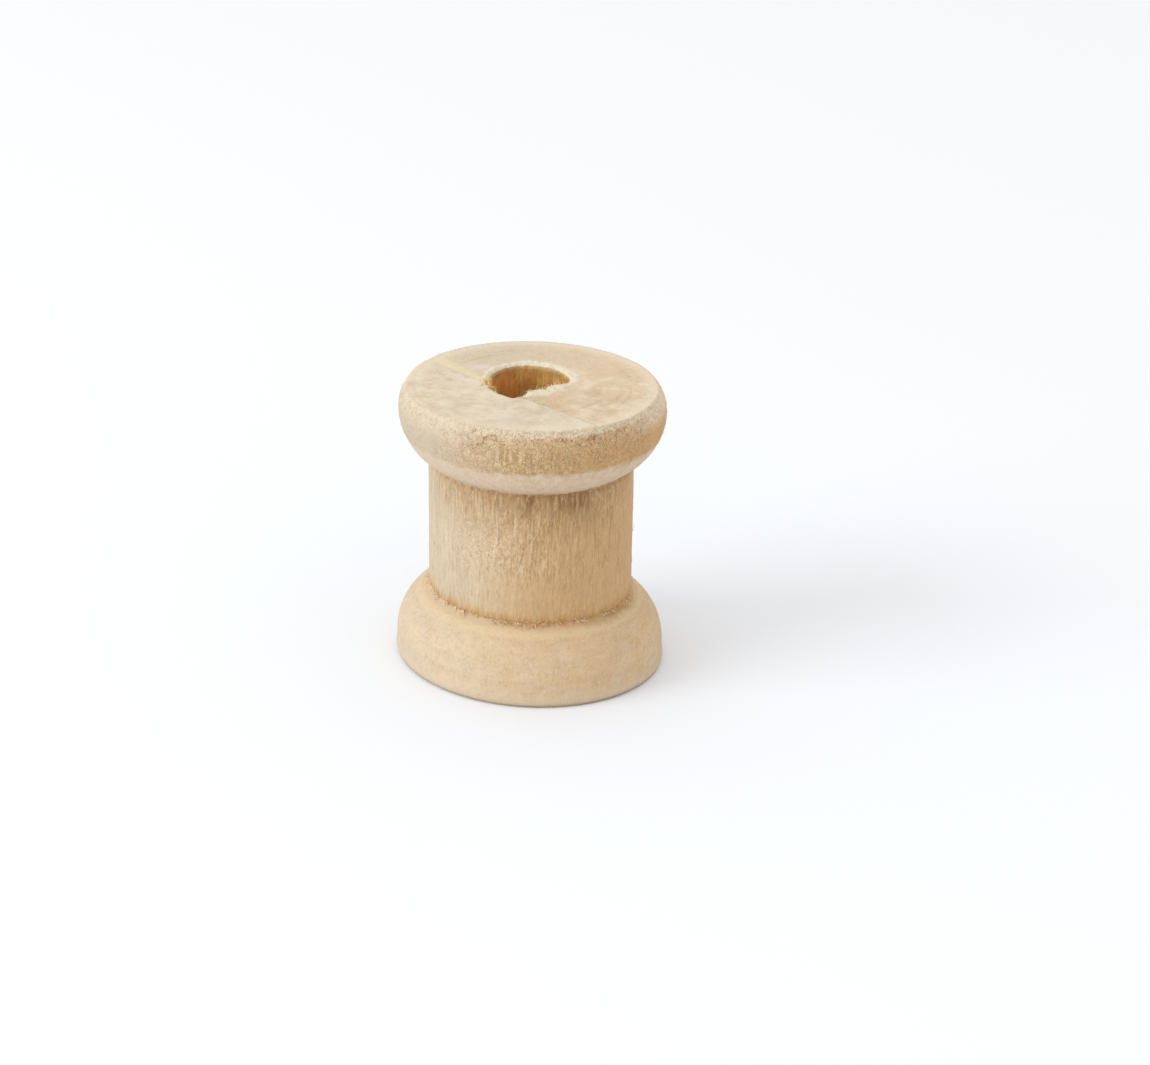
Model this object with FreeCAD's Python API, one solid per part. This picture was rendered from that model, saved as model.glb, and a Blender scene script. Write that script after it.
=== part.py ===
"""A bare wooden spool, turned on a lathe from one blank of pale hardwood, in millimetres.

The spool stands on its lower end face. The origin is the middle of that face, and +Z runs up the
bore. The half profile, in (radius, height), is turned about the Z axis. The two flanges are alike,
but the upper one's outer edge is rounded more. It is one piece of wood, so the model is one solid
in one node.
"""
import FreeCAD, Part

import math
import os

# Driving dimensions, all in millimetres
height = 15.0                # over the two end faces
flange_radius = 7.0          # at the widest line of each flange
barrel_radius = 5.32         # the cylinder that the thread is wound on
bore_radius = 2.15           # drilled right through, for a spool pin or a cord
mouth_radius = 2.5           # widest circle of the broken edge round each end of the bore
mouth_depth = 0.35           # how far that edge is broken in along the bore
lower_face_radius = 6.78     # outer edge of the flat end face that the spool stands on
upper_face_radius = 6.55     # outer edge of the other end face, where the edge is rounded more
widest_height = 1.15         # of a flange's widest line, from its own end face
shoulder_radius = 2.94       # of the arc that runs from the widest line in to the barrel
corner_groove_width = 0.3    # cut along the barrel by the tip of the turning knife
corner_groove_depth = 0.1    # into the barrel, at its foot

axis_bottom = FreeCAD.Vector(0, 0, 0)
axis_up = FreeCAD.Vector(0, 0, 1)


def at(radius, z):
    """A point of the half profile."""
    return FreeCAD.Vector(radius, 0, z)


def arc_about(centre_radius, centre_z, radius, start, end):
    """An arc of the half profile about a centre, from one angle to another, in degrees from +X."""
    def on_arc(angle):
        turn = math.radians(angle)
        return at(centre_radius + radius * math.cos(turn), centre_z + radius * math.sin(turn))
    return Part.Arc(on_arc(start), on_arc((start + end) / 2), on_arc(end)).toShape()


def rim_radius(face_radius):
    """Radius of the edge rounding, which is upright at the widest line and ends at the face."""
    inset = flange_radius - face_radius
    return (inset ** 2 + widest_height ** 2) / (2 * inset)


def flange_edges(face_radius):
    """A flange's edges, from the bore's mouth out to the foot of the barrel, standing on its face."""
    rim = rim_radius(face_radius)
    rim_centre = flange_radius - rim
    face_angle = -math.degrees(math.asin(widest_height / rim))
    shoulder_centre = flange_radius - shoulder_radius
    barrel_angle = math.degrees(math.acos((barrel_radius - shoulder_centre) / shoulder_radius))
    mouth = Part.makeLine(at(bore_radius, mouth_depth), at(mouth_radius, 0))
    face = Part.makeLine(at(mouth_radius, 0), at(face_radius, 0))
    rim_round = arc_about(rim_centre, widest_height, rim, face_angle, 0)
    shoulder = arc_about(shoulder_centre, widest_height, shoulder_radius, 0, barrel_angle)
    foot = shoulder.Vertexes[-1].Point
    groove_floor = at(barrel_radius - corner_groove_depth, foot.z + corner_groove_width / 2)
    groove_end = at(barrel_radius, foot.z + corner_groove_width)
    groove_in = Part.makeLine(foot, groove_floor)
    groove_out = Part.makeLine(groove_floor, groove_end)
    return [mouth, face, rim_round, shoulder, groove_in, groove_out]


def turned_over(edges):
    """The edges of a flange as the upper one, mirrored about the spool's middle height."""
    middle = FreeCAD.Vector(0, 0, height / 2)
    return [edge.mirror(middle, axis_up) for edge in edges]


def spool_body():
    """The whole spool: the closed half profile turned once round the axis."""
    lower = flange_edges(lower_face_radius)
    upper = turned_over(flange_edges(upper_face_radius))
    barrel = Part.makeLine(lower[-1].Vertexes[-1].Point, upper[-1].Vertexes[-1].Point)
    bore = Part.makeLine(at(bore_radius, mouth_depth), at(bore_radius, height - mouth_depth))
    outline = Part.Wire(Part.__sortEdges__(lower + [barrel] + upper + [bore]))
    return Part.Face(outline).revolve(axis_bottom, axis_up, 360)


def export(name, shape):
    """Writes one node, after making sure that it is one sound solid."""
    solid = shape.Solids[0] if shape.Solids else Part.Solid(shape)
    if not solid.isValid() or not solid.isClosed() or len(shape.Solids) > 1:
        raise RuntimeError(name + " is not one valid closed solid")
    box = solid.optimalBoundingBox()
    print(name, "volume", round(solid.Volume, 1), "mm3, size",
          round(box.XLength, 2), round(box.YLength, 2), round(box.ZLength, 2))
    solid.exportStep(os.path.join("parts", name + ".step"))


os.makedirs("parts", exist_ok=True)
export("spool_body", spool_body())
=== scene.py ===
import math
import random

import bpy
import numpy as np
from mathutils import Matrix, Vector, noise


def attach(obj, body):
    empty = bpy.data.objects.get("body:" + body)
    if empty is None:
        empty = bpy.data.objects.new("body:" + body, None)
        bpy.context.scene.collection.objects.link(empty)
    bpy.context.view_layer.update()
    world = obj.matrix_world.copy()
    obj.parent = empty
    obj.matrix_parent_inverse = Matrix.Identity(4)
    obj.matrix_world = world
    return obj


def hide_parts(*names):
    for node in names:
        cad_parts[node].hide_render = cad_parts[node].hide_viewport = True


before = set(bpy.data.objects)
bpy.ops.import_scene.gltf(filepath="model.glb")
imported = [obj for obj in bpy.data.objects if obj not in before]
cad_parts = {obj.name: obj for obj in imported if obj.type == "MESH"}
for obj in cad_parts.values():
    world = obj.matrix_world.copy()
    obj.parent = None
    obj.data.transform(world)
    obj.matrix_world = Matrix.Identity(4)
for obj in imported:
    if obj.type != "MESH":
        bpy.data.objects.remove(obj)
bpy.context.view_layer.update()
mm = 0.001


# helpers shared by the pieces

def deselectAll():
    if bpy.context.object and bpy.context.object.mode != "OBJECT":
        bpy.ops.object.mode_set(mode="OBJECT")
    bpy.ops.object.select_all(action="DESELECT")


def makeActive(piece):
    deselectAll()
    piece.select_set(True)
    bpy.context.view_layer.objects.active = piece


def smooth(start, end, value):
    t = np.clip((value - start) / (end - start), 0, 1)
    return t * t * (3 - 2 * t)


def hump(centre, width, value):
    return np.exp(-((value - centre) / width) ** 2)


# soft noise from about -1 to 1 at each point, with lumps of that size in mm
def softNoise(points, size, shift=0.0):
    scaled = (points / np.array(size, float) + shift).tolist()
    return np.array([noise.noise(p) for p in scaled])


# camera

cameraSettings = {
    "distance": 182.0,        # mm, from the middle of the spool
    "elevation": 23.4,        # degrees above the floor
    "roll": 2.66,             # degrees
    "lens": 108.9,            # mm, on a sensor 36 mm wide
    "aimHeight": 7.0,         # mm above the floor, on the spool's axis
    "aimRight": 2.34,         # mm beside the axis, where the camera looks
    "aimDown": 0.21,          # mm
}


def addCamera():
    s = cameraSettings
    tilt = math.radians(s["elevation"])
    back = Vector((0, -math.cos(tilt), math.sin(tilt)))
    roll = Matrix.Rotation(math.radians(s["roll"]), 3, back)
    right = roll @ Vector((1, 0, 0))
    up = roll @ Vector((0, math.sin(tilt), math.cos(tilt)))
    middle = Vector((0, 0, s["aimHeight"])) * mm
    target = middle + (right * s["aimRight"] - up * s["aimDown"]) * mm
    data = bpy.data.cameras.new("camera")
    data.lens = s["lens"]
    data.sensor_width = 36
    data.clip_start = 0.01
    data.clip_end = 20
    camera = bpy.data.objects.new("camera", data)
    bpy.context.scene.collection.objects.link(camera)
    camera.location = middle + back * s["distance"] * mm
    look = (camera.location - target).normalized()
    across = right - look * right.dot(look)
    across.normalize()
    axes = Matrix((across, look.cross(across), look)).transposed()
    camera.rotation_mode = "QUATERNION"
    camera.rotation_quaternion = axes.to_quaternion()
    bpy.context.scene.camera = camera
    print("camera placed")


addCamera()


# the turned blank

bodySizes = {                 # all in mm
    "height": 15.0,
    "boreRadius": 2.15,
    "mouthRadius": 2.28,
    "mouthDepth": 0.14,
    "lowerFaceRadius": 6.78,
    "upperFaceRadius": 6.55,
    "flangeRadius": 7.0,
    "widestHeight": 1.15,
    "shoulderRadius": 2.94,
    "barrelRadius": 5.32,
    "grooveWidth": 0.3,
    "grooveDepth": 0.1,
    "stepsPerQuarter": 118,
}

lowerSteps = {"boreDeep": 4, "bore": 5, "mouth": 2, "face": 12, "rim": 10, "shoulder": 26, "barrel": 18}
upperSteps = {"boreDeep": 4, "bore": 14, "mouth": 3, "face": 36, "rim": 15, "shoulder": 29, "barrel": 18}


def arcPoints(centre, radius, start, end, count):
    turns = [start + (end - start) * i / count for i in range(1, count + 1)]
    return [(centre[0] + radius * math.cos(t), centre[1] + radius * math.sin(t)) for t in turns]


def linePoints(start, end, count):
    shares = [i / count for i in range(1, count + 1)]
    return [(start[0] + (end[0] - start[0]) * t, start[1] + (end[1] - start[1]) * t) for t in shares]


# half profile (radius, height) of a flange standing on its face, from the bore to mid barrel
def flangeProfile(faceRadius, steps):
    b = bodySizes
    inset = b["flangeRadius"] - faceRadius
    rim = (inset ** 2 + b["widestHeight"] ** 2) / (2 * inset)
    rimCentre = (b["flangeRadius"] - rim, b["widestHeight"])
    rimStart = -math.asin(b["widestHeight"] / rim)
    shoulderCentre = (b["flangeRadius"] - b["shoulderRadius"], b["widestHeight"])
    shoulderEnd = math.acos((b["barrelRadius"] - shoulderCentre[0]) / b["shoulderRadius"])
    foot = b["widestHeight"] + b["shoulderRadius"] * math.sin(shoulderEnd)
    grooveFloor = (b["barrelRadius"] - b["grooveDepth"], foot + b["grooveWidth"] / 2)
    grooveEnd = (b["barrelRadius"], foot + b["grooveWidth"])
    points = [(b["boreRadius"], b["height"] / 2)]
    points += linePoints(points[-1], (b["boreRadius"], 2.6), steps["boreDeep"])
    points += linePoints(points[-1], (b["boreRadius"], b["mouthDepth"]), steps["bore"])
    points += linePoints(points[-1], (b["mouthRadius"], 0), steps["mouth"])
    points += linePoints(points[-1], (faceRadius, 0), steps["face"])
    points += arcPoints(rimCentre, rim, rimStart, 0, steps["rim"])
    points += arcPoints(shoulderCentre, b["shoulderRadius"], 0, shoulderEnd, steps["shoulder"])
    points += linePoints(points[-1], grooveFloor, 2)
    points += linePoints(points[-1], grooveEnd, 2)
    points += linePoints(points[-1], (b["barrelRadius"], b["height"] / 2), steps["barrel"])
    return points


def spoolProfile():
    lower = flangeProfile(bodySizes["lowerFaceRadius"], lowerSteps)
    upper = flangeProfile(bodySizes["upperFaceRadius"], upperSteps)
    turned = [(r, bodySizes["height"] - z) for r, z in reversed(upper)]
    return lower + turned[1:-1]


# a ring laid out as the half section, spun a quarter turn, then copied round
def turnBlank():
    points = spoolProfile()
    deselectAll()
    bpy.ops.mesh.primitive_circle_add(vertices=len(points), radius=3 * mm, location=(0, 0, 0))
    blank = bpy.context.object
    blank.name = "spoolBody"
    for vertex, (r, z) in zip(blank.data.vertices, points):
        vertex.co = (r * mm, 0, z * mm)
    bpy.ops.object.mode_set(mode="EDIT")
    bpy.ops.mesh.select_all(action="SELECT")
    steps = bodySizes["stepsPerQuarter"]
    bpy.ops.mesh.spin(steps=steps, angle=math.pi / 2, center=(0, 0, 0), axis=(0, 0, 1))
    for turns in (1, 2):
        bpy.ops.mesh.select_all(action="SELECT")
        bpy.ops.mesh.duplicate()
        quarters = turns * math.pi / 2
        bpy.ops.transform.rotate(value=quarters, orient_axis="Z", center_override=(0, 0, 0))
        bpy.ops.mesh.select_all(action="SELECT")
        bpy.ops.mesh.remove_doubles(threshold=0.002 * mm)
    bpy.ops.mesh.select_all(action="SELECT")
    bpy.ops.mesh.normals_make_consistent(inside=False)
    bpy.ops.object.mode_set(mode="OBJECT")
    print("blank turned:", len(blank.data.vertices), "points")
    return blank


# the split across the upper end face

splitLine = {
    "normal": (0.70, 0.714),  # across the split, towards the back right
    "offset": -1.70,          # mm from the middle of the face
    "rampWidth": 0.05,        # mm
    "plateRise": 0.045,       # mm, front left of the split
    "cutFrom": 1.6,           # mm from the axis, where the cut faces begin
}


# two cuts side by side across the upper end face, so that the ledge has a crisp edge
def cutSplitLine(blank):
    s = splitLine
    across = (s["normal"][0], s["normal"][1], 0)
    makeActive(blank)
    for shift in (0, s["rampWidth"]):
        for face in blank.data.polygons:
            top = face.center.z > (bodySizes["height"] - 0.05) * mm
            face.select = top and math.hypot(face.center.x, face.center.y) > s["cutFrom"] * mm
        bpy.ops.object.mode_set(mode="EDIT")
        bpy.ops.mesh.select_mode(type="FACE")
        reach = (s["offset"] + shift) * mm
        point = (across[0] * reach, across[1] * reach, 0)
        bpy.ops.mesh.bisect(plane_co=point, plane_no=across, threshold=0.0001 * mm)
        bpy.ops.object.mode_set(mode="OBJECT")
    print("split line cut:", len(blank.data.vertices), "points")


# reading and writing a mesh, in mm

def readPoints(piece):
    flat = np.zeros(len(piece.data.vertices) * 3)
    piece.data.vertices.foreach_get("co", flat)
    return flat.reshape(-1, 3) / mm


def writePoints(piece, points):
    piece.data.vertices.foreach_set("co", (points * mm).astype(np.float32).ravel())
    piece.data.update()


def readNormals(piece):
    flat = np.zeros(len(piece.data.vertices) * 3)
    piece.data.vertex_normals.foreach_get("vector", flat)
    return flat.reshape(-1, 3)


# relief of the surface; depths and places in mm, directions in degrees from +X

boreMouth = {
    "x": -0.19,               # mm off the axis
    "y": 0.56,
    "stretchY": 0.17,         # share by which it is longer along Y
    "ringWidth": 0.12,        # of the torn ring, as a share of the bore's radius
    "burrReach": 0.46,        # how far the burr leans in, as a share of the radius
    "burrRise": 0.07,         # mm
}

tornSides = -70               # degrees; the fibres stand up most here and opposite

crooked = {
    "lean": -0.034,           # sideways per unit of height
    "upperTilt": 0.020,       # of the upper flange, its right side up
    "rise": 0.03,             # of the upper flange, mm
    "upperScale": 0.989,      # of the upper flange's width
    "upperShift": 0.05,       # of the upper flange to the right, mm
}


# soft masks from 0 to 1, from the unworn shape
def zonesOf(points):
    b = bodySizes
    x, y, z = points.T
    r = np.hypot(x, y)
    top = b["height"]
    fromEnd = np.minimum(z, top - z)
    outer = r > b["mouthRadius"] + 0.02
    lowerEdge = b["lowerFaceRadius"]
    upperEdge = b["upperFaceRadius"]
    zones = {"x": x, "y": y, "z": z, "r": r, "turn": np.arctan2(y, x), "fromEnd": fromEnd}
    zones["degrees"] = np.degrees(zones["turn"])
    zones["upperFace"] = (outer & (z > top - 0.03)) * smooth(upperEdge + 0.15, upperEdge - 0.2, r)
    zones["lowerFace"] = (outer & (z < 0.03)) * smooth(lowerEdge + 0.15, lowerEdge - 0.2, r)
    zones["barrel"] = outer * smooth(3.75, 4.10, fromEnd)
    zones["upperFlange"] = (outer & (z > top / 2)) * (1 - zones["barrel"]) * (1 - zones["upperFace"])
    zones["lowerFlange"] = (outer & (z < top / 2)) * (1 - zones["barrel"]) * (1 - zones["lowerFace"])
    zones["bore"] = (~outer) * 1.0
    return zones


sideRelief = {                # depths and heights in mm
    "slow": 0.018,
    "fine": (0.008, 0.014),           # everywhere on the barrel, and more on the torn sides
    "finer": (0.006, 0.016),
    "bandTop": (12.45, 12.95),        # where the pale band gives way to the torn rim
    "rimCrumb": 0.024,
    "rimLump": 0.014,
    "bandLine": {"height": 12.70, "width": 0.12, "depth": 0.022},
    "line": {"height": 3.34, "width": 0.06, "depth": 0.040},
    "bead": {"height": 3.58, "width": 0.11, "depth": 0.028},
    "lowerCrumb": 0.006,
    "turning": 0.008,
    "corner": {"height": 3.95, "width": 0.16},
}


# the fibres stand up more on two opposite sides
def carveSides(points, q, marks):
    s = sideRelief
    slow = softNoise(points, (2.6, 2.6, 4.5), 7.7)
    fine = softNoise(points, (0.16, 0.16, 0.9), 3.1)
    finer = softNoise(points, (0.20, 0.20, 0.45), 9.7)
    crumb = softNoise(points, (0.17, 0.17, 0.20), 5.3)
    lump = softNoise(points, (0.55, 0.55, 0.8), 1.9)
    patch = softNoise(points, (0.9, 0.9, 1.3), 12.4)
    z, fromEnd, degrees, r = q["z"], q["fromEnd"], q["degrees"], q["r"]
    turning = np.stack([np.cos(q["turn"]) * 1.6, np.sin(q["turn"]) * 1.6, z / 0.42], 1)
    turning = softNoise(turning, (1, 1, 1), 21.3)
    flanges = q["upperFlange"] + q["lowerFlange"]
    sector = 0.5 + 0.5 * np.cos(2 * np.radians(degrees - tornSides))
    tornSide = 0.26 + 0.74 * smooth(0.0, 1.0, sector + 0.22 * slow)
    # the front right, away from the key light: colours that follow this mask paint that side warmer and
    # darker and the lit left paler, as painted shade
    shadedSide = smooth(0.42, 1.0, 0.5 + 0.5 * np.cos(np.radians(degrees + 42)) + 0.06 * slow)

    depth = s["slow"] * slow * (q["barrel"] + flanges)
    depth += q["barrel"] * (s["fine"][0] + s["fine"][1] * tornSide) * fine
    depth += q["barrel"] * (s["finer"][0] + s["finer"][1] * tornSide) * finer

    # upper flange: crumbled end grain round the edge, above a smooth band
    rimBand = q["upperFlange"] * smooth(*s["bandTop"], z + 0.10 * lump)
    rimTorn = rimBand * np.clip(0.12 + 0.88 * tornSide + 0.25 * patch, 0.15, 1)
    depth += rimTorn * (s["rimCrumb"] * crumb + s["rimLump"] * lump)
    cut = s["bandLine"]
    bandLine = hump(cut["height"], cut["width"], z + 0.05 * lump)
    depth -= cut["depth"] * bandLine * q["upperFlange"] * tornSide

    # lower flange: a bead at the foot and a faint turned line below it
    line = hump(s["line"]["height"], s["line"]["width"], z + 0.03 * lump) * q["lowerFlange"]
    bead = hump(s["bead"]["height"], s["bead"]["width"], z) * q["lowerFlange"]
    depth += s["bead"]["depth"] * bead - s["line"]["depth"] * line * (0.4 + 0.6 * shadedSide)
    depth += s["lowerCrumb"] * crumb * q["lowerFlange"] * (0.5 + 0.8 * tornSide)
    depth += s["turning"] * turning * q["lowerFlange"]

    # feet of both flanges: the corner is ragged
    corner = hump(s["corner"]["height"], s["corner"]["width"], fromEnd) * (r > 5)
    depth += corner * (0.05 * finer + 0.04 * lump - 0.02 + 0.05 * (z < 7.5))

    front = smooth(-178, -122, degrees) * smooth(-12, -55, degrees)
    roughBarrel = hump(-90, 20, degrees) * smooth(5.6, 7.4, z) * smooth(11.5, 8.6, z)
    roughBarrel += front * smooth(8.8, 10.6, z)
    roughRim = hump(-92, 20, degrees) + 0.7 * hump(88, 24, degrees)
    roughRim += 0.6 * smooth(13.7, 14.5, z) * tornSide
    rough = np.where(q["barrel"] > 0.5, roughBarrel + 0.15, roughRim + 0.12)
    marks["rough"] = np.clip(rough + 0.15 * patch, 0, 1)
    gold = hump(-95, 9, degrees) * hump(13.55, 0.55, z)
    gold += 0.6 * hump(-78, 8, degrees) * hump(13.6, 0.5, z)
    spot = hump(-63, 3.0, degrees) * hump(14.60, 0.20, z)
    # under the band's overhang: painted shade, broken into dark streaks of the torn wood
    shadeAndStains = hump(-90, 5, degrees) + 0.9 * hump(-62, 7, degrees)
    shadeAndStains += 0.7 * hump(-75, 7, degrees)
    shadeAndStains += 0.4 * hump(-104, 8, degrees)
    shadeAndStains *= smooth(9.5, 10.6, z + 0.4 * patch) * (z < 11.1)
    longStreak = hump(-52, 26, degrees) * smooth(4.6, 7.5, z) * q["barrel"]
    marks["lace"] = q["barrel"] * hump(-114, 24, degrees) * hump(7.9, 1.9, z + 0.5 * patch)
    marks["tornSide"] = tornSide
    marks["shadedSide"] = shadedSide
    marks["longStreak"] = longStreak
    marks["rimTorn"] = rimTorn
    marks["gold"] = gold * q["upperFlange"]
    # painted shade under the band, in dark streaks, with a dark spot on the rim
    marks["stainAndShade"] = np.clip(shadeAndStains + spot, 0, 1) * (r > 5)
    marks["underShade"] = front * smooth(7.6, 10.9, z + 0.5 * patch) * q["barrel"]
    marks["bandLow"] = np.clip(0.5 + (z - 11.05) / 0.8, 0, 1)
    marks["bandTop"] = q["upperFlange"] * (1 - rimBand)
    # at the feet of the flanges, where the barrel meets them: painted shade in the crease
    upperCornerShade = 0.5 * hump(3.98, 0.12, fromEnd)
    lowerCornerShade = 0.9 * hump(4.12, 0.24, z + 0.10 * patch)
    marks["corner"] = np.where(z > 7.5, upperCornerShade, lowerCornerShade) * (r > 5)
    marks["rimTop"] = smooth(13.75, 14.75, z + 0.15 * lump) * q["upperFlange"]
    # front right foot of the lower flange: painted shade in the crease, with some stain
    marks["footStainAndShade"] = hump(-28, 28, degrees) * hump(3.90, 0.22, z + 0.1 * lump) * (r > 5)
    smudges = hump(-87, 8, degrees) + 0.6 * hump(-70, 6, degrees) + 0.5 * hump(-125, 6, degrees)
    marks["smudge"] = np.clip(smudges * hump(3.97, 0.16, z + 0.08 * lump) * (r > 5), 0, 1)
    marks["goldFoot"] = q["barrel"] * smooth(5.1, 4.1, z + 0.4 * lump) * np.clip(0.65 + patch, 0, 1)
    marks["lowerFlange"] = q["lowerFlange"]
    # painted light: the bottom of the lower flange is paler, as if lit from the floor
    marks["floorBounceLight"] = smooth(1.2, 0.2, z) * q["lowerFlange"]
    marks["bead"] = hump(3.58, 0.22, z) * q["lowerFlange"]
    # the turned line is painted darker on the shaded side: painted shade
    marks["line"] = line * shadedSide * np.clip(0.5 + 1.3 * patch, 0, 1)
    marks["turning"] = 0.5 + 0.7 * turning
    return depth


faceRelief = {                # depths in mm
    "turned": 0.010,
    "lowerLump": 0.010,
    "wedge": 0.035,
    "hair": 0.03,
    "lump": 0.012,
    "slow": 0.014,
    "spots": 0.007,
    "arcs": 0.014,
    "groove": 0.022,
    "hollow": 0.10,
}


# the two end faces, with the split, the turning marks and the hollow beside the bore
def carveFaces(points, q, marks):
    s = splitLine
    f = faceRelief
    x, y = points[:, 0], points[:, 1]
    r = q["r"]
    slow = softNoise(points, (2.6, 2.6, 4.5), 17.7)
    lump = softNoise(points, (0.55, 0.55, 0.8), 11.9)
    across = s["normal"][0] * x + s["normal"][1] * y
    along = s["normal"][1] * x - s["normal"][0] * y
    fromSplit = across - s["offset"]
    plate = smooth(s["rampWidth"] * 0.9, s["rampWidth"] * 0.1, fromSplit)
    behind = 1 - plate

    wedgeWidth = 0.24 + 0.235 * np.clip(-along - 0.6, 0, 9)
    wedge = smooth(1.1, 0.2, fromSplit / wedgeWidth) * smooth(-0.4, -1.2, along) * behind
    hair = hump(0.07, 0.09, fromSplit + 0.03 * lump) * smooth(2.2, 3.0, along) * (0.7 + 0.5 * lump)
    hollow = hump(2.35, 0.85, along) * hump(-1.05, 0.55, across + 0.10 * lump) * behind
    turned = np.sin(r * 2 * math.pi / 0.42 + 1.6 * slow)
    arcs = softNoise(np.stack([r / 0.28, np.radians(q["degrees"]) * 1.7, r * 0], 1), (1, 1, 1), 4.4)
    arcs = smooth(0.20, 0.65, arcs) * smooth(2.9, 3.6, r) * smooth(5.9, 5.2, r)
    fromLeft = np.where(q["degrees"] > 0, q["degrees"] - 360, q["degrees"])
    groove = hump(6.22 + 0.06 * slow, 0.08, r) * hump(-170, 42, fromLeft)
    spots = softNoise(points, (0.32, 0.32, 0.32), 15.1)

    onFace = q["upperFace"]
    depth = q["lowerFace"] * (f["turned"] * turned + f["lowerLump"] * lump)
    depth += onFace * (s["plateRise"] * plate - f["wedge"] * wedge - f["hair"] * hair * behind)
    raised = f["lump"] * lump + f["slow"] * slow + f["spots"] * spots
    depth += onFace * (raised - f["arcs"] * arcs * behind - f["groove"] * groove)
    depth -= onFace * f["hollow"] * hollow * (1 + 0.5 * lump)

    marks["endGrain"] = np.maximum(onFace, q["lowerFace"])
    marks["plate"] = plate * onFace
    marks["freshSplit"] = wedge * onFace
    marks["hair"] = np.clip(hair, 0, 1) * behind * onFace
    marks["tan"] = hollow * onFace
    # painted shade in the hollow, on top of its carved dip
    marks["arcs"] = arcs * behind * onFace
    marks["warmSide"] = smooth(-1.0, 3.5, x + 1.2 * slow) * behind * onFace
    marks["blush"] = hump(-2.95, 0.65, x) * hump(2.45, 0.45, y) * onFace
    # its colour is painted shade along the groove near the edge
    marks["groove"] = groove * onFace
    marks["worn"] = 0.25 + 0.75 * smooth(3.2, 0.4, y)
    left = smooth(-80, -150, q["degrees"])
    right = smooth(-55, -15, q["degrees"]) * smooth(70, 30, q["degrees"])
    edgeHeight = points[:, 2] + 0.10 * lump
    rimEdge = smooth(5.55, 6.35, r + 0.15 * lump) * (points[:, 2] > 13.5)
    sideEdge = right * smooth(13.8, 14.6, edgeHeight)
    topEdge = smooth(14.60, 14.84, edgeHeight) * (1 - 0.8 * left)
    marks["softEdge"] = rimEdge * np.maximum(topEdge, sideEdge)
    return depth


lowEdge = {
    "lift": 0.075,            # mm, of the broken edge
    "outward": 0.030,         # share of the radius
    "tuck": 0.012,            # share of the radius, back in on one side
    "tuckSide": -146,         # degrees
}


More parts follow.
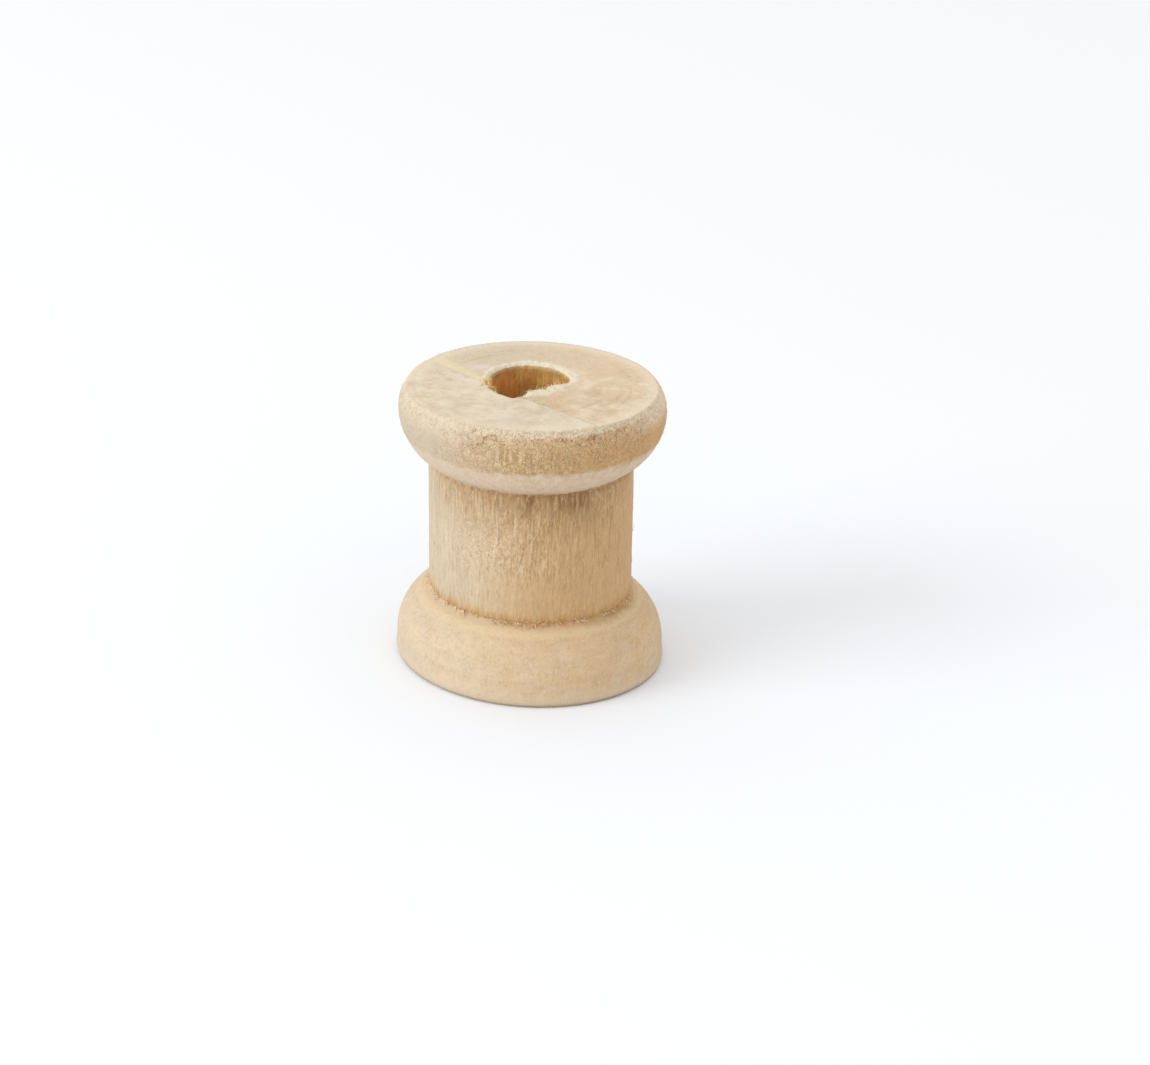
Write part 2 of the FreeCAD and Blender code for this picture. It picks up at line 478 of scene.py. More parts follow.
def shapeBody(blank):
    points = readPoints(blank)
    normals = readNormals(blank)
    q = zonesOf(points)
    y, z, r = q["y"], q["z"], q["r"]
    top = bodySizes["height"]
    boreRadius = bodySizes["boreRadius"]
    m = boreMouth
    low = lowEdge

    # the upper mouth is pushed off the axis, and the face near it with it
    near = np.where(r < 2.4, 1.0, smooth(5.0, 2.4, r)) * smooth(1.0, 14.0, z)
    near = np.where((z > top - 0.05) | (r < 2.4), near, 0)
    moved = points.copy()
    moved[:, 0] += m["x"] * near
    moved[:, 1] += (m["y"] + y * m["stretchY"]) * near
    u = (moved[:, 0] - m["x"]) / boreRadius
    v = (moved[:, 1] - m["y"]) / (boreRadius * (1 + m["stretchY"]))
    reach = np.hypot(u, v)
    around = np.degrees(np.arctan2(v, u))
    rim = np.stack([u, v, z * 0], 1) / np.maximum(reach, 0.3)[:, None]
    rag = softNoise(rim * 3, (1, 1, 1), 2.2)
    ragFine = softNoise(rim * 11, (1, 1, 1), 6.6)

    # the burr leans in over the front right of the mouth
    burr = m["burrReach"] * smooth(-112, -82, around) * smooth(14, -30, around)
    burr = np.clip(burr * (1 + 0.12 * rag + 0.05 * ragFine), 0, 1)
    inBore = smooth(top - 0.50, top - 0.06, z)
    onFace = smooth(1.75, 1.0, reach) * (z > top - 0.2)
    pull = burr * np.where(q["bore"] > 0, inBore, onFace)
    shrink = np.where(near > 0, 1 - pull / np.maximum(reach, 0.5), 1)
    moved[:, 0] = m["x"] + (moved[:, 0] - m["x"]) * shrink
    moved[:, 1] = m["y"] + (moved[:, 1] - m["y"]) * shrink
    newReach = reach * shrink

    marks = {}
    depth = carveSides(points, q, marks)
    depth += carveFaces(moved, q, marks)

    # torn ring, and the bore wall drilled along the grain
    fuzz = softNoise(moved, (0.17, 0.17, 0.17), 13.5)
    tangle = softNoise(moved, (0.42, 0.42, 0.42), 27.5)
    normal = splitLine["normal"]
    split = normal[0] * moved[:, 0] + normal[1] * moved[:, 1] - splitLine["offset"]
    width = m["ringWidth"] + 0.10 * hump(0, 40, around) + 0.05 * hump(98, 50, around)
    width = (width + 0.07 * rag + 0.04 * ragFine) * smooth(0.0, 0.5, split)
    width -= 0.06 * hump(-165, 30, around)
    width += 0.13 * hump(-84, 30, around) * smooth(0.0, 0.3, split)
    ring = np.clip(0.5 + (1.02 - burr + width - newReach) / 0.34, 0, 1) * (r < 4.5)
    ring *= np.where(q["bore"] > 0, smooth(top - 0.16, top - 0.04, z), 1)
    onBurr = smooth(0.06, 0.18, pull) * (q["bore"] < 0.5) * smooth(1.02, 0.9, newReach)
    ring = np.clip(ring + 0.5 * onBurr, 0, 1)
    calm = 1 - smooth(0.05, 0.25, pull)
    depth += q["upperFace"] * smooth(0.4, 0.7, ring) * (0.020 + 0.05 * fuzz * calm + 0.03 * tangle)
    boreGrain = softNoise(points, (0.24, 0.24, 1.0), 4.4)
    boreLump = softNoise(points, (0.5, 0.5, 0.6), 8.4)
    depth += q["bore"] * (0.045 * boreGrain + 0.04 * boreLump)

    shaped = moved + normals * depth[:, None]
    shaped[:, 2] += m["burrRise"] * smooth(0.15, 0.45, pull) * (1 + 0.9 * tangle) * (z > top - 0.2)

    # the lowest edge is broken and stands out a little, and less so on one side
    edge = smooth(6.25, bodySizes["lowerFaceRadius"], r)
    shaped[:, 2] += low["lift"] * edge * smooth(0.5, 0.0, z)
    shaped[:, :2] *= (1 + low["outward"] * edge * smooth(1.0, 0.1, z))[:, None]
    # painted contact shadow along the lowest edge, at the floor
    marks["contactShadow"] = smooth(0.22, 0.06, shaped[:, 2]) * (r > 6.4)
    tucked = smooth(1.2, 0.0, z) * hump(low["tuckSide"], 30, q["degrees"]) * smooth(5.2, 6.6, r)
    shaped[:, :2] *= (1 - low["tuck"] * tucked)[:, None]
    shaped[:, 2] = np.maximum(shaped[:, 2], 0)     # nothing below the floor

    q["around"] = around
    marks["mouthEdge"] = smooth(0.16, 0.02, newReach - 1) * smooth(0.1, -0.2, split) * (q["bore"] < 0.5)
    marks["ring"] = ring
    marks["boreWall"] = q["bore"] * (1 - smooth(top - 0.22, top - 0.05, z))
    marks["fringe"] = q["bore"] * hump(top - 0.34, 0.22, z + 0.10 * boreLump)
    marks["boreRed"] = 0.8 * q["bore"] * smooth(85, 125, around + 12 * boreLump)
    writePoints(blank, shaped)
    for name, values in marks.items():
        attribute = blank.data.attributes.new(name, "FLOAT", "POINT")
        attribute.data.foreach_set("value", np.clip(values, 0, 1).astype(np.float32))
    print("relief carved")
    return q, marks


# the spool leans a little and its top is not level
def setCrooked(piece):
    c = crooked
    points = readPoints(piece)
    x, y, z = points.T
    middle = bodySizes["height"] / 2
    upper = smooth(11.0, 12.6, z)
    scale = 1 + (c["upperScale"] - 1) * upper
    tilted = z + (x * c["upperTilt"] + c["rise"]) * smooth(7.0, 13.0, z)
    leaned = x * scale + c["upperShift"] * upper + c["lean"] * (z - middle)
    writePoints(piece, np.stack([leaned, y * scale, tilted], 1))


# materials

def newMaterial(name, roughness, specular):
    material = bpy.data.materials.new(name)
    material.use_nodes = True
    shader = material.node_tree.nodes["Principled BSDF"]
    shader.inputs["Roughness"].default_value = roughness
    shader.inputs["Specular IOR Level"].default_value = specular
    return material, material.node_tree, shader


def addNode(tree, kind, **values):
    made = tree.nodes.new("ShaderNode" + kind)
    for key, value in values.items():
        if hasattr(made, key):
            setattr(made, key, value)
        else:
            made.inputs[key.replace("_", " ")].default_value = value
    return made


# noise with grains of that size in mm along X, Y and Z
def grainNoise(tree, position, size, detail=2.0, rough=0.55, twist=0.0):
    scale = [1 / (s * mm) for s in size]
    mapping = addNode(tree, "Mapping", Scale=scale)
    texture = addNode(tree, "TexNoise", Scale=1.0, Detail=detail, Roughness=rough, Distortion=twist)
    tree.links.new(position, mapping.inputs["Vector"])
    tree.links.new(mapping.outputs["Vector"], texture.inputs["Vector"])
    return texture.outputs["Fac"]


def remap(tree, value, low, high, to=(0.0, 1.0)):
    made = addNode(tree, "MapRange", clamp=True)
    tree.links.new(value, made.inputs["Value"])
    made.inputs["From Min"].default_value = low
    made.inputs["From Max"].default_value = high
    made.inputs["To Min"].default_value = to[0]
    made.inputs["To Max"].default_value = to[1]
    return made.outputs["Result"]


def math2(tree, operation, a, b):
    made = addNode(tree, "Math", operation=operation)
    for socket, value in zip(made.inputs, (a, b)):
        if isinstance(value, (int, float)):
            socket.default_value = value
        else:
            tree.links.new(value, socket)
    return made.outputs["Value"]


def times(tree, a, b):
    return math2(tree, "MULTIPLY", a, b)


def mixColour(tree, share, a, b):
    made = addNode(tree, "Mix", data_type="RGBA")
    sockets = {s.identifier: s for s in made.inputs}
    for name, value in (("Factor_Float", share), ("A_Color", a), ("B_Color", b)):
        if isinstance(value, (int, float, tuple)):
            sockets[name].default_value = value
        else:
            tree.links.new(value, sockets[name])
    return [s for s in made.outputs if s.identifier == "Result_Color"][0]


def mark(tree, name):
    return addNode(tree, "Attribute", attribute_name=name).outputs["Fac"]


# thin curling threads, where a noise passes its middle
def threads(tree, value, width):
    away = math2(tree, "ABSOLUTE", math2(tree, "SUBTRACT", value, 0.5), 0.0)
    return remap(tree, away, 0.0, width, (1.0, 0.0))


# a wide mark cut to a sharp, ragged edge by a noise
def ragged(tree, name, value, amount, softness):
    offset = times(tree, math2(tree, "SUBTRACT", value, 0.5), amount)
    return remap(tree, math2(tree, "ADD", mark(tree, name), offset), 0.5 - softness, 0.5 + softness)


woodColours = {
    "sidePale": (0.562, 0.464, 0.332, 1),
    # painted shade: the barrel's side away from the key light
    "sideShaded": (0.585, 0.368, 0.180, 1),
    "sideDark": (0.300, 0.180, 0.080, 1),
    "sideLight": (0.700, 0.570, 0.390, 1),
    "shade": (0.400, 0.240, 0.105, 1),
    "rimPale": (0.525, 0.428, 0.315, 1),
    # painted shade: the rim's side away from the key light
    "rimShaded": (0.600, 0.360, 0.162, 1),
    "rimDark": (0.310, 0.175, 0.070, 1),
    "rimThread": (0.760, 0.610, 0.400, 1),
    # painted shade: the threads on the side away from the key light
    "threadShaded": (0.690, 0.500, 0.280, 1),
    "gold": (0.545, 0.340, 0.135, 1),
    # painted shade under the band, in dark streaks
    "stainAndShade": (0.215, 0.098, 0.034, 1),
    "band": (0.610, 0.460, 0.325, 1),
    # painted light: the band's lit left side, paler
    "bandLitSide": (0.570, 0.475, 0.345, 1),
    "bandPale": (0.665, 0.525, 0.395, 1),
    "lower": (0.560, 0.470, 0.348, 1),
    # painted shade: the lower flange's side away from the key light
    "lowerShaded": (0.628, 0.432, 0.245, 1),
    "lowerPink": (0.622, 0.475, 0.345, 1),
    "bead": (0.690, 0.530, 0.320, 1),
    "line": (0.510, 0.315, 0.155, 1),
    "end": (0.630, 0.520, 0.378, 1),
    "endWarm": (0.690, 0.520, 0.345, 1),
    "endDark": (0.520, 0.370, 0.225, 1),
    "endLight": (0.790, 0.700, 0.540, 1),
    "plate": (0.705, 0.600, 0.445, 1),
    "plateGrey": (0.640, 0.545, 0.420, 1),
    "edge": (0.770, 0.665, 0.505, 1),
    "fresh": (0.790, 0.655, 0.430, 1),
    "pale": (0.755, 0.690, 0.540, 1),
    "blush": (0.740, 0.640, 0.550, 1),
    "hair": (0.680, 0.430, 0.210, 1),
    # used as painted shade in the hollow beside the bore
    "tan": (0.575, 0.400, 0.200, 1),
    "bore": (0.660, 0.390, 0.112, 1),
    "boreDark": (0.500, 0.210, 0.055, 1),
    "boreLight": (0.720, 0.485, 0.175, 1),
    "boreRed": (0.740, 0.280, 0.068, 1),
    "fringe": (0.400, 0.250, 0.075, 1),
    # painted shade in the creases at the flanges' feet
    "corner": (0.430, 0.245, 0.085, 1),
    "goldFoot": (0.560, 0.345, 0.125, 1),
    # painted shade and stain in the foot crease
    "footStainAndShade": (0.400, 0.215, 0.080, 1),
    "lowerCream": (0.670, 0.525, 0.350, 1),
    "lowerDusk": (0.540, 0.375, 0.225, 1),
    # painted light from the floor
    "floorBounceColour": (0.600, 0.500, 0.375, 1),
    # painted contact shadow at the floor
    "contactShadow": (0.210, 0.125, 0.090, 1),
    "smudge": (0.520, 0.235, 0.080, 1),
}


woodGrains = {                # grain sizes in mm, detail, roughness and distortion
    "streak": ((0.7, 0.7, 6.0), 3.0),
    "fibre": ((0.12, 0.12, 0.9), 3.0, 0.65),
    "dash": ((0.12, 0.12, 0.60), 2.0, 0.6),
    "fleck": ((0.10, 0.10, 0.28), 2.0, 0.6),
    "crumb": ((0.18, 0.18, 0.18), 2.0, 0.55),
    "curl": ((0.30, 0.30, 0.30), 1.0, 0.5, 1.5),
    "speck": ((0.12, 0.12, 0.12), 1.0),
    "cloud": ((1.1, 1.1, 1.3), 3.0),
    "blotch": ((0.9, 0.9, 0.55), 2.0),
    "mottle": ((0.36, 0.36, 0.36), 2.0),
    "upright": ((0.15, 0.15, 1.2), 2.0),
    "longGrain": ((0.14, 0.14, 1.3), 3.0, 0.6),
    "level": ((0.9, 0.9, 0.075), 2.0),
    "scratch": ((0.75, 0.11, 0.75), 1.0),
}


def turnedWood():
    material, tree, shader = newMaterial("turnedWood", 0.72, 0.25)
    c = woodColours
    position = addNode(tree, "TexCoord").outputs["Object"]
    tornSide = mark(tree, "tornSide")
    rimTorn = mark(tree, "rimTorn")
    shadedSide = mark(tree, "shadedSide")
    rough = mark(tree, "rough")

    grain = {name: grainNoise(tree, position, *sizes) for name, sizes in woodGrains.items()}
    fibre, fleck, crumb, curl = grain["fibre"], grain["fleck"], grain["crumb"], grain["curl"]
    dash, upright, longGrain = grain["dash"], grain["upright"], grain["longGrain"]
    cloud, blotch, mottle, level = grain["cloud"], grain["blotch"], grain["mottle"], grain["level"]

    # side grain of the barrel
    # painted shade: the side away from the key light is warmer and darker
    side = mixColour(tree, shadedSide, c["sidePale"], c["sideShaded"])
    side = mixColour(tree, remap(tree, grain["streak"], 0.42, 0.68, (0.0, 0.14)), side, c["sideDark"])
    longShare = times(tree, mark(tree, "longStreak"), remap(tree, upright, 0.50, 0.66, (0.0, 0.75)))
    side = mixColour(tree, longShare, side, c["shade"])
    side = mixColour(tree, times(tree, mark(tree, "underShade"), 0.72), side, c["shade"])
    goldFoot = times(tree, mark(tree, "goldFoot"), remap(tree, upright, 0.38, 0.58, (0.4, 1.0)))
    side = mixColour(tree, goldFoot, side, c["goldFoot"])
    streakShare = remap(tree, rough, 0.0, 1.0, (0.08, 0.74))
    darkStreaks = times(tree, remap(tree, longGrain, 0.51, 0.63), streakShare)
    side = mixColour(tree, darkStreaks, side, c["shade"])
    streakShare = remap(tree, rough, 0.0, 1.0, (0.03, 0.42))
    paleStreaks = times(tree, remap(tree, longGrain, 0.47, 0.36), streakShare)
    side = mixColour(tree, paleStreaks, side, c["sideLight"])
    fibreShare = times(tree, remap(tree, fibre, 0.50, 0.70), remap(tree, rough, 0.0, 1.0, (0.08, 0.40)))
    side = mixColour(tree, fibreShare, side, c["sideDark"])
    dashShare = times(tree, remap(tree, dash, 0.55, 0.66), remap(tree, rough, 0.0, 1.0, (0.20, 0.62)))
    side = mixColour(tree, dashShare, side, c["sideDark"])
    fleckShare = times(tree, remap(tree, fleck, 0.57, 0.68), remap(tree, rough, 0.0, 1.0, (0.28, 0.45)))
    side = mixColour(tree, fleckShare, side, c["sideLight"])

    lace = mark(tree, "lace")
    lacePits = times(tree, lace, remap(tree, crumb, 0.54, 0.64, (0.0, 0.45)))
    side = mixColour(tree, lacePits, side, c["sideDark"])
    laceThreads = times(tree, lace, times(tree, threads(tree, curl, 0.06), 0.80))
    side = mixColour(tree, laceThreads, side, c["sideLight"])

    # lower flange, paler and finer
    # painted shade: the lower flange warmer and darker away from the key light
    lower = mixColour(tree, shadedSide, c["lower"], c["lowerShaded"])
    lower = mixColour(tree, remap(tree, cloud, 0.42, 0.66, (0.0, 0.7)), lower, c["lowerPink"])
    turning = mark(tree, "turning")
    lower = mixColour(tree, remap(tree, turning, 0.50, 0.90, (0.0, 0.30)), lower, c["bead"])
    lower = mixColour(tree, remap(tree, turning, 0.40, 0.05, (0.0, 0.16)), lower, c["line"])
    lower = mixColour(tree, remap(tree, mottle, 0.50, 0.70, (0.0, 0.20)), lower, c["line"])
    lower = mixColour(tree, remap(tree, level, 0.56, 0.68, (0.0, 0.20)), lower, c["line"])
    lower = mixColour(tree, remap(tree, level, 0.44, 0.34, (0.0, 0.26)), lower, c["bead"])
    lower = mixColour(tree, remap(tree, blotch, 0.52, 0.64, (0.0, 0.40)), lower, c["lowerCream"])
    lower = mixColour(tree, remap(tree, blotch, 0.46, 0.34, (0.0, 0.34)), lower, c["lowerDusk"])
    lower = mixColour(tree, remap(tree, dash, 0.62, 0.69, (0.0, 0.60)), lower, c["sideLight"])
    lower = mixColour(tree, remap(tree, upright, 0.58, 0.68, (0.0, 0.30)), lower, c["bead"])
    lower = mixColour(tree, times(tree, mark(tree, "bead"), 0.7), lower, c["bead"])
    lower = mixColour(tree, times(tree, mark(tree, "line"), 0.5), lower, c["line"])
    lower = mixColour(tree, times(tree, remap(tree, crumb, 0.54, 0.68), 0.17), lower, c["sideDark"])
    lower = mixColour(tree, times(tree, remap(tree, fleck, 0.54, 0.66), 0.50), lower, c["bead"])
    # painted shade in the foot crease on the front right, with some stain
    stainAndShade = times(tree, mark(tree, "footStainAndShade"), remap(tree, mottle, 0.35, 0.60, (0.6, 1.0)))
    lower = mixColour(tree, stainAndShade, lower, c["footStainAndShade"])
    # painted light from the floor on the lowest part of the lower flange
    lower = mixColour(tree, times(tree, mark(tree, "floorBounceLight"), 0.45), lower, c["floorBounceColour"])
    # painted contact shadow where the spool stands on the floor
    lower = mixColour(tree, times(tree, mark(tree, "contactShadow"), 0.8), lower, c["contactShadow"])
    colour = mixColour(tree, mark(tree, "lowerFlange"), side, lower)

    # crumbled edge of the upper flange: dark pits between pale curling threads
    # painted shade: the rim warmer and more golden away from the key light, and its top edge paler on the
    # lit side
    rim = mixColour(tree, shadedSide, c["rimPale"], c["rimShaded"])
    rim = mixColour(tree, times(tree, shadedSide, remap(tree, cloud, 0.45, 0.65, (0.0, 0.40))), rim, c["gold"])
    rimTop = mark(tree, "rimTop")
    topShare = times(tree, rimTop, remap(tree, shadedSide, 0.1, 0.7, (0.35, 0.22)))
    rim = mixColour(tree, topShare, rim, c["edge"])
    goldShare = times(tree, mark(tree, "gold"), remap(tree, upright, 0.40, 0.60, (0.3, 1.0)))
    rim = mixColour(tree, goldShare, rim, c["gold"])
    lowerRim = remap(tree, rimTop, 0.0, 0.6, (1.0, 0.0))
    # painted shade: the threads warmer away from the key light
    thread = mixColour(tree, shadedSide, c["rimThread"], c["threadShaded"])
    rimStreaks = times(tree, remap(tree, upright, 0.50, 0.62, (0.0, 0.55)), lowerRim)
    rim = mixColour(tree, times(tree, rimStreaks, rough), rim, c["rimDark"])
    paleShare = times(tree, remap(tree, upright, 0.47, 0.37, (0.0, 0.60)), lowerRim)
    rim = mixColour(tree, times(tree, paleShare, rough), rim, thread)
    pits = times(tree, remap(tree, crumb, 0.52, 0.62), remap(tree, rough, 0.0, 1.0, (0.20, 0.88)))
    pits = times(tree, pits, remap(tree, lowerRim, 0.0, 1.0, (1.0, 0.35)))
    pits = times(tree, pits, remap(tree, cloud, 0.35, 0.60, (0.5, 1.0)))
    rim = mixColour(tree, pits, rim, c["rimDark"])
    curls = times(tree, threads(tree, curl, 0.055), remap(tree, rough, 0.0, 1.0, (0.25, 0.80)))
    rim = mixColour(tree, times(tree, curls, remap(tree, rimTorn, 0.1, 0.6)), rim, thread)
    colour = mixColour(tree, remap(tree, rimTorn, 0.0, 0.12), colour, rim)
    bandUpper = ragged(tree, "bandTop", mottle, 1.3, 0.42)
    band = times(tree, bandUpper, ragged(tree, "bandLow", dash, 0.6, 0.05))
    bandColour = mixColour(tree, remap(tree, mottle, 0.40, 0.66), c["band"], c["bandPale"])
    bandColour = mixColour(tree, times(tree, remap(tree, fleck, 0.56, 0.70), 0.3), bandColour, c["line"])
    # painted light: the band's left side, towards the key light, is paler
    bandColour = mixColour(tree, remap(tree, shadedSide, 0.0, 0.5, (0.75, 0.0)), bandColour, c["bandLitSide"])
    colour = mixColour(tree, band, colour, bandColour)
    # painted shade under the band, in dark streaks, and a dark spot on the rim
    stainAndShadeShare = times(tree, mark(tree, "stainAndShade"), remap(tree, upright, 0.42, 0.56, (0.15, 0.95)))
    colour = mixColour(tree, stainAndShadeShare, colour, c["stainAndShade"])

    # end faces
    end = mixColour(tree, remap(tree, cloud, 0.40, 0.70, (0.0, 0.4)), c["end"], c["endWarm"])
    end = mixColour(tree, times(tree, mark(tree, "warmSide"), 0.8), end, c["endWarm"])
    plate = mixColour(tree, remap(tree, cloud, 0.44, 0.62, (0.0, 0.8)), c["plate"], c["plateGrey"])
    end = mixColour(tree, mark(tree, "plate"), end, plate)
    worn = mark(tree, "worn")
    wornPatches = (
        (blotch, 0.50, 0.64, 0.34, "endDark"),
        (mottle, 0.54, 0.68, 0.26, "endDark"),
        (blotch, 0.46, 0.34, 0.45, "endLight"),
    )
    for value, low, high, most, tint in wornPatches:
        wornShare = times(tree, worn, remap(tree, value, low, high, (0.0, most)))
        end = mixColour(tree, wornShare, end, c[tint])
    end = mixColour(tree, times(tree, remap(tree, grain["scratch"], 0.62, 0.72), 0.60), end, c["endLight"])
    end = mixColour(tree, times(tree, remap(tree, grain["speck"], 0.64, 0.72), 0.75), end, c["endLight"])
    arcShare = times(tree, mark(tree, "arcs"), remap(tree, mottle, 0.35, 0.65, (0.20, 0.75)))
    end = mixColour(tree, arcShare, end, c["endDark"])
    # painted shade in the groove near the left edge
    end = mixColour(tree, times(tree, mark(tree, "groove"), 0.30), end, c["endDark"])
    colour = mixColour(tree, mark(tree, "endGrain"), colour, end)
    edgeShare = times(tree, mark(tree, "softEdge"), remap(tree, crumb, 0.40, 0.62, (0.85, 0.45)))
    colour = mixColour(tree, edgeShare, colour, c["edge"])
    colour = mixColour(tree, times(tree, mark(tree, "freshSplit"), 0.75), colour, c["fresh"])
    colour = mixColour(tree, times(tree, mark(tree, "blush"), 0.8), colour, c["blush"])
    colour = mixColour(tree, times(tree, mark(tree, "hair"), 0.75), colour, c["hair"])
    # painted shade in the hollow beside the bore
    hollowShadeShare = times(tree, mark(tree, "tan"), remap(tree, mottle, 0.35, 0.62, (1.0, 0.5)))
    colour = mixColour(tree, hollowShadeShare, colour, c["tan"])

    # bore wall and the torn ring
    wall = mixColour(tree, remap(tree, fleck, 0.40, 0.66), c["bore"], c["boreDark"])
    wall = mixColour(tree, remap(tree, mottle, 0.48, 0.66, (0.0, 0.7)), wall, c["boreDark"])
    wall = mixColour(tree, remap(tree, upright, 0.52, 0.64, (0.0, 0.9)), wall, c["boreLight"])
    redShare = times(tree, mark(tree, "boreRed"), remap(tree, mottle, 0.38, 0.60, (0.55, 1.0)))
    wall = mixColour(tree, redShare, wall, c["boreRed"])
    wall = mixColour(tree, remap(tree, curl, 0.60, 0.70, (0.0, 0.5)), wall, c["boreLight"])
    fringe = times(tree, mark(tree, "fringe"), remap(tree, mottle, 0.40, 0.58, (0.15, 0.85)))
    wall = mixColour(tree, fringe, wall, c["fringe"])
    colour = mixColour(tree, times(tree, mark(tree, "mouthEdge"), 0.6), colour, c["tan"])
    colour = mixColour(tree, mark(tree, "boreWall"), colour, wall)
    ringShare = ragged(tree, "ring", crumb, 0.75, 0.16)
    colour = mixColour(tree, times(tree, ringShare, 0.85), colour, c["pale"])
    # painted shade in the crease at the foot of each flange
    cornerShadeShare = times(tree, mark(tree, "corner"), remap(tree, upright, 0.42, 0.56, (0.25, 0.90)))
    colour = mixColour(tree, cornerShadeShare, colour, c["corner"])
    smudgeShare = times(tree, mark(tree, "smudge"), remap(tree, mottle, 0.36, 0.56, (0.2, 0.95)))
    colour = mixColour(tree, smudgeShare, colour, c["smudge"])
    tree.links.new(colour, shader.inputs["Base Color"])

    sideBump = remap(tree, tornSide, 0.2, 1.0, (0.30, 0.90))
    heightSide = times(tree, math2(tree, "ADD", fibre, fleck), sideBump)
    curlHeight = math2(tree, "ADD", crumb, threads(tree, curl, 0.09))
    heightRim = times(tree, curlHeight, remap(tree, rimTorn, 0.1, 1.0, (0.08, 1.2)))
    bump = addNode(tree, "Bump", Strength=1.0, Distance=0.030 * mm)
    tree.links.new(math2(tree, "ADD", heightSide, heightRim), bump.inputs["Height"])
    tree.links.new(bump.outputs["Normal"], shader.inputs["Normal"])
    return material


def makeBody():
    body = turnBlank()
    cutSplitLine(body)
    zones, marks = shapeBody(body)
    setCrooked(body)
    makeActive(body)
    bpy.ops.object.shade_smooth()
    body.data.materials.append(turnedWood())
    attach(body, "root")
    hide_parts("spool_body")
    return body, zones, marks


body, zones, marks = makeBody()


# raised fibres: short splinters strewn over the torn places

splinterSizes = {             # as shares of the width, and of the length
    "footRadius": 0.5,
    "tipRadius": 0.16,
    "bend": 3.0,
}


# a bent, three-sided splinter, one unit long and wide
def makeSplinter():
    s = splinterSizes
    deselectAll()
    bpy.ops.mesh.primitive_cone_add(
        vertices=3, radius1=s["footRadius"], radius2=s["tipRadius"], depth=1, location=(0, 0, 0.5))
    splinter = bpy.context.object
    splinter.name = "splinter"
    bpy.ops.object.transform_apply(location=True)
    bpy.ops.object.mode_set(mode="EDIT")
    bpy.ops.mesh.select_all(action="SELECT")
    bpy.ops.mesh.bisect(plane_co=(0, 0, 0.5), plane_no=(0, 0, 1), threshold=0.001)
    bpy.ops.object.mode_set(mode="OBJECT")
    for vertex in splinter.data.vertices:
        vertex.co.x += s["bend"] * vertex.co.z ** 2
    return splinter


fibreKinds = {                # lengths and widths in mm
    "footFibres": {
        "count": 420, "length": (0.12, 0.30), "width": (0.060, 0.125), "stand": 0.30, "upright": 1.0,
        "scatter": 0.15, "colours": ((0.80, 0.65, 0.43, 1), (0.62, 0.42, 0.20, 1)), "seed": 3,
    },
    "bandFibres": {
        "count": 260, "length": (0.10, 0.34), "width": (0.018, 0.040), "stand": 0.22, "upright": 1.0,
        "scatter": 0.2, "colours": ((0.68, 0.52, 0.37, 1), (0.34, 0.19, 0.08, 1)), "seed": 5,
    },
    "burrFibres": {
        "count": 130, "length": (0.08, 0.26), "width": (0.020, 0.045), "stand": 0.7, "upright": 0.2,
        "scatter": 0.9, "colours": ((0.84, 0.75, 0.57, 1), (0.74, 0.58, 0.36, 1)), "seed": 7,
    },
    "tuftFibres": {
        "count": 170, "length": (0.10, 0.28), "width": (0.040, 0.080), "stand": 0.9, "upright": 0.2,
        "scatter": 0.8, "colours": ((0.84, 0.66, 0.34, 1), (0.74, 0.46, 0.15, 1)), "seed": 17,
    },
    "barrelFibres": {
        "count": 420, "length": (0.14, 0.55), "width": (0.014, 0.030), "stand": 0.16, "upright": 1.0,
        "scatter": 0.12, "colours": ((0.70, 0.55, 0.36, 1), (0.46, 0.31, 0.16, 1)), "seed": 11,
    },
    "rimFibres": {
        "count": 800, "length": (0.08, 0.24), "width": (0.016, 0.036), "stand": 0.5, "upright": 0.4,
        "scatter": 0.9, "colours": ((0.80, 0.64, 0.41, 1), (0.60, 0.40, 0.20, 1)), "seed": 13,
    },
}


strewing = {
    "leastRise": 0.12,        # off the surface, as a share of the direction
    "flatAbove": 14.8,        # mm; higher up, the fibres are pressed flat
    "flatShare": 0.4,         # of their upright part that is left there
    "jitter": 0.03,           # mm
    "sunk": 0.2,              # share of the length below the surface
}


# how likely each point of the body is to carry a fibre
def fibreWeights(name):
    q, z = zones, zones["z"]
    outer = q["r"] > 5
    torn = 0.25 + 0.75 * marks["tornSide"]
    top = bodySizes["height"]
    if name == "footFibres":
        return hump(3.94, 0.07, z) * outer * torn * np.clip(marks["turning"] + 0.2, 0, 1) ** 2
    if name == "bandFibres":
        return hump(11.10, 0.07, z) * outer * torn
    if name == "burrFibres":
        mouth = (marks["ring"] > 0.55) * hump(top, 0.20, z)
        return mouth * (0.08 + hump(-52, 40, q["around"]) + 2.0 * hump(-96, 12, q["around"]))
    if name == "tuftFibres":
        left = (q["around"] - 191 + 180) % 360 - 180      # degrees from the tuft
        return (q["bore"] + 0.3 * (q["r"] < 2.6)) * hump(top - 0.2, 0.25, z) * hump(0, 14, left)
    if name == "barrelFibres":
        return q["barrel"] * marks["tornSide"] ** 1.5
    return marks["rimTorn"] ** 2


def fibreMaterial(name, colours):
    material, tree, shader = newMaterial(name, 0.75, 0.2)
    position = addNode(tree, "TexCoord").outputs["Object"]
    tone = grainNoise(tree, position, (0.35, 0.35, 0.35), 1.0)
    tree.links.new(mixColour(tree, remap(tree, tone, 0.40, 0.60), *colours), shader.inputs["Base Color"])
    return material


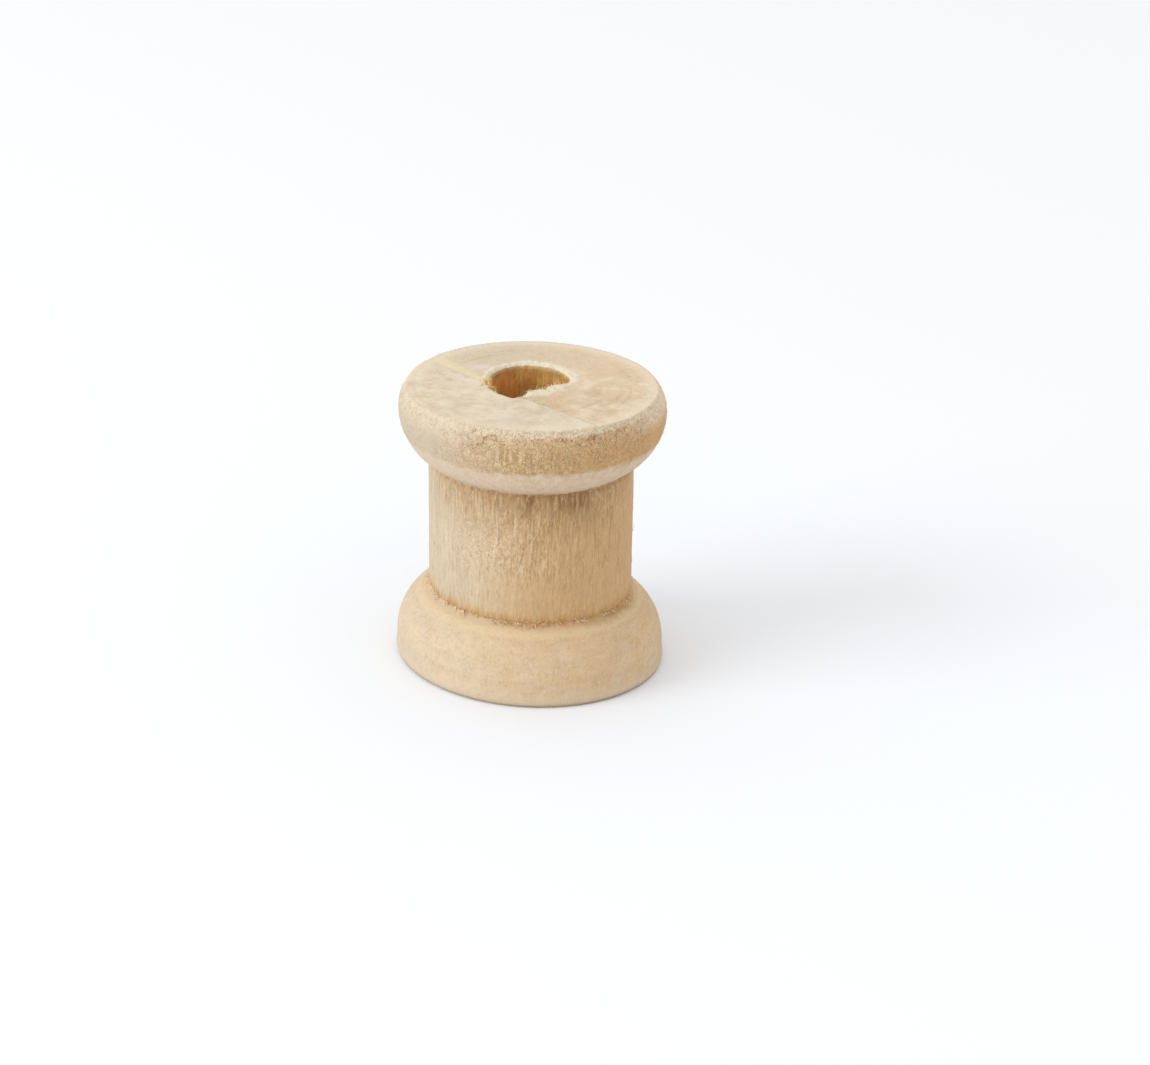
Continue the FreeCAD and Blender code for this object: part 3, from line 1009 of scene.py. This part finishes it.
def strewFibres(name, settings, splinter, points, normals):
    s = settings
    w = strewing
    rand = random.Random(s["seed"])
    weights = np.cumsum(fibreWeights(name))
    material = fibreMaterial(name, s["colours"])
    copies = []
    for i in range(s["count"]):
        at = int(np.searchsorted(weights, rand.random() * weights[-1]))
        normal = Vector(normals[at])
        jitter = Vector([rand.uniform(-1, 1) for axis in range(3)])
        side = 1 if rand.random() < 0.5 else -1
        along = normal * s["stand"] + Vector((0, 0, side)) * s["upright"] + jitter * s["scatter"]
        along -= normal * min(0, along.dot(normal) - w["leastRise"])
        if points[at][2] > w["flatAbove"]:
            along.z *= w["flatShare"]
        length = rand.uniform(*s["length"]) * mm
        width = rand.uniform(*s["width"]) * mm
        place = Vector(points[at]) * mm + jitter * w["jitter"] * mm
        place -= along.normalized() * w["sunk"] * length
        spin = Matrix.Rotation(rand.uniform(0, 6.28), 3, "Z").to_quaternion()
        turn = along.to_track_quat("Z", "Y") @ spin
        mesh = splinter.data.copy()
        mesh.transform(Matrix.LocRotScale(place, turn, Vector((width, width, length))))
        fibre = bpy.data.objects.new(name, mesh)
        bpy.context.scene.collection.objects.link(fibre)
        copies.append(fibre)
    deselectAll()
    for fibre in copies:
        fibre.select_set(True)
    bpy.context.view_layer.objects.active = copies[0]
    bpy.ops.object.join()
    copies[0].data.materials.clear()
    copies[0].data.materials.append(material)
    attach(copies[0], "root")
    print(name, "strewn:", s["count"])


def makeFibres():
    splinter = makeSplinter()
    points = readPoints(body)
    normals = readNormals(body)
    for name, settings in fibreKinds.items():
        strewFibres(name, settings, splinter, points, normals)
    bpy.data.objects.remove(splinter)


makeFibres()


# floor and light

studio = {
    "floorSize": 3.0,         # m
    # painted shade tint: the floor near the spool is bluer, against the warm light bounced off the wood
    "floorNearShadeTint": (0.885, 0.915, 0.955, 1),
    "floorFar": (0.893, 0.900, 0.909, 1),
    "floorRange": (0.006, 0.060),     # m from the axis, from the near tint to the far one
    "skyStrength": 0.935,
    "skyColour": (1.0, 0.995, 0.99, 1),
    "keyPower": 1.32,         # W
    "keySize": 0.30,          # m
    "keyColour": (0.93, 0.97, 1.0),
    "keyPlace": (-0.42, -0.20, 0.22),
    "keyAim": (0, 0, 0.008),
}


def addFloor():
    deselectAll()
    bpy.ops.mesh.primitive_grid_add(
        x_subdivisions=4, y_subdivisions=4, size=studio["floorSize"], location=(0, 0, 0))
    floor = bpy.context.object
    floor.name = "floor"
    material, tree, shader = newMaterial("paperFloor", 0.9, 0.1)
    position = addNode(tree, "TexCoord").outputs["Object"]
    away = addNode(tree, "VectorMath", operation="LENGTH")
    tree.links.new(position, away.inputs[0])
    far = remap(tree, away.outputs["Value"], *studio["floorRange"])
    # painted shade tint on the floor near the spool
    tint = mixColour(tree, far, studio["floorNearShadeTint"], studio["floorFar"])
    tree.links.new(tint, shader.inputs["Base Color"])
    floor.data.materials.append(material)


def addLights():
    world = bpy.data.worlds.new("studio")
    bpy.context.scene.world = world
    world.use_nodes = True
    background = world.node_tree.nodes["Background"]
    background.inputs["Color"].default_value = studio["skyColour"]
    background.inputs["Strength"].default_value = studio["skyStrength"]
    data = bpy.data.lights.new("keyLight", "AREA")
    data.energy = studio["keyPower"]
    data.size = studio["keySize"]
    data.color = studio["keyColour"]
    key = bpy.data.objects.new("keyLight", data)
    bpy.context.scene.collection.objects.link(key)
    key.location = studio["keyPlace"]
    aim = Vector(studio["keyAim"]) - key.location
    key.rotation_euler = aim.to_track_quat("-Z", "Y").to_euler()
    bpy.context.scene.view_settings.view_transform = "Standard"
    print("floor and lights placed")


addFloor()
addLights()
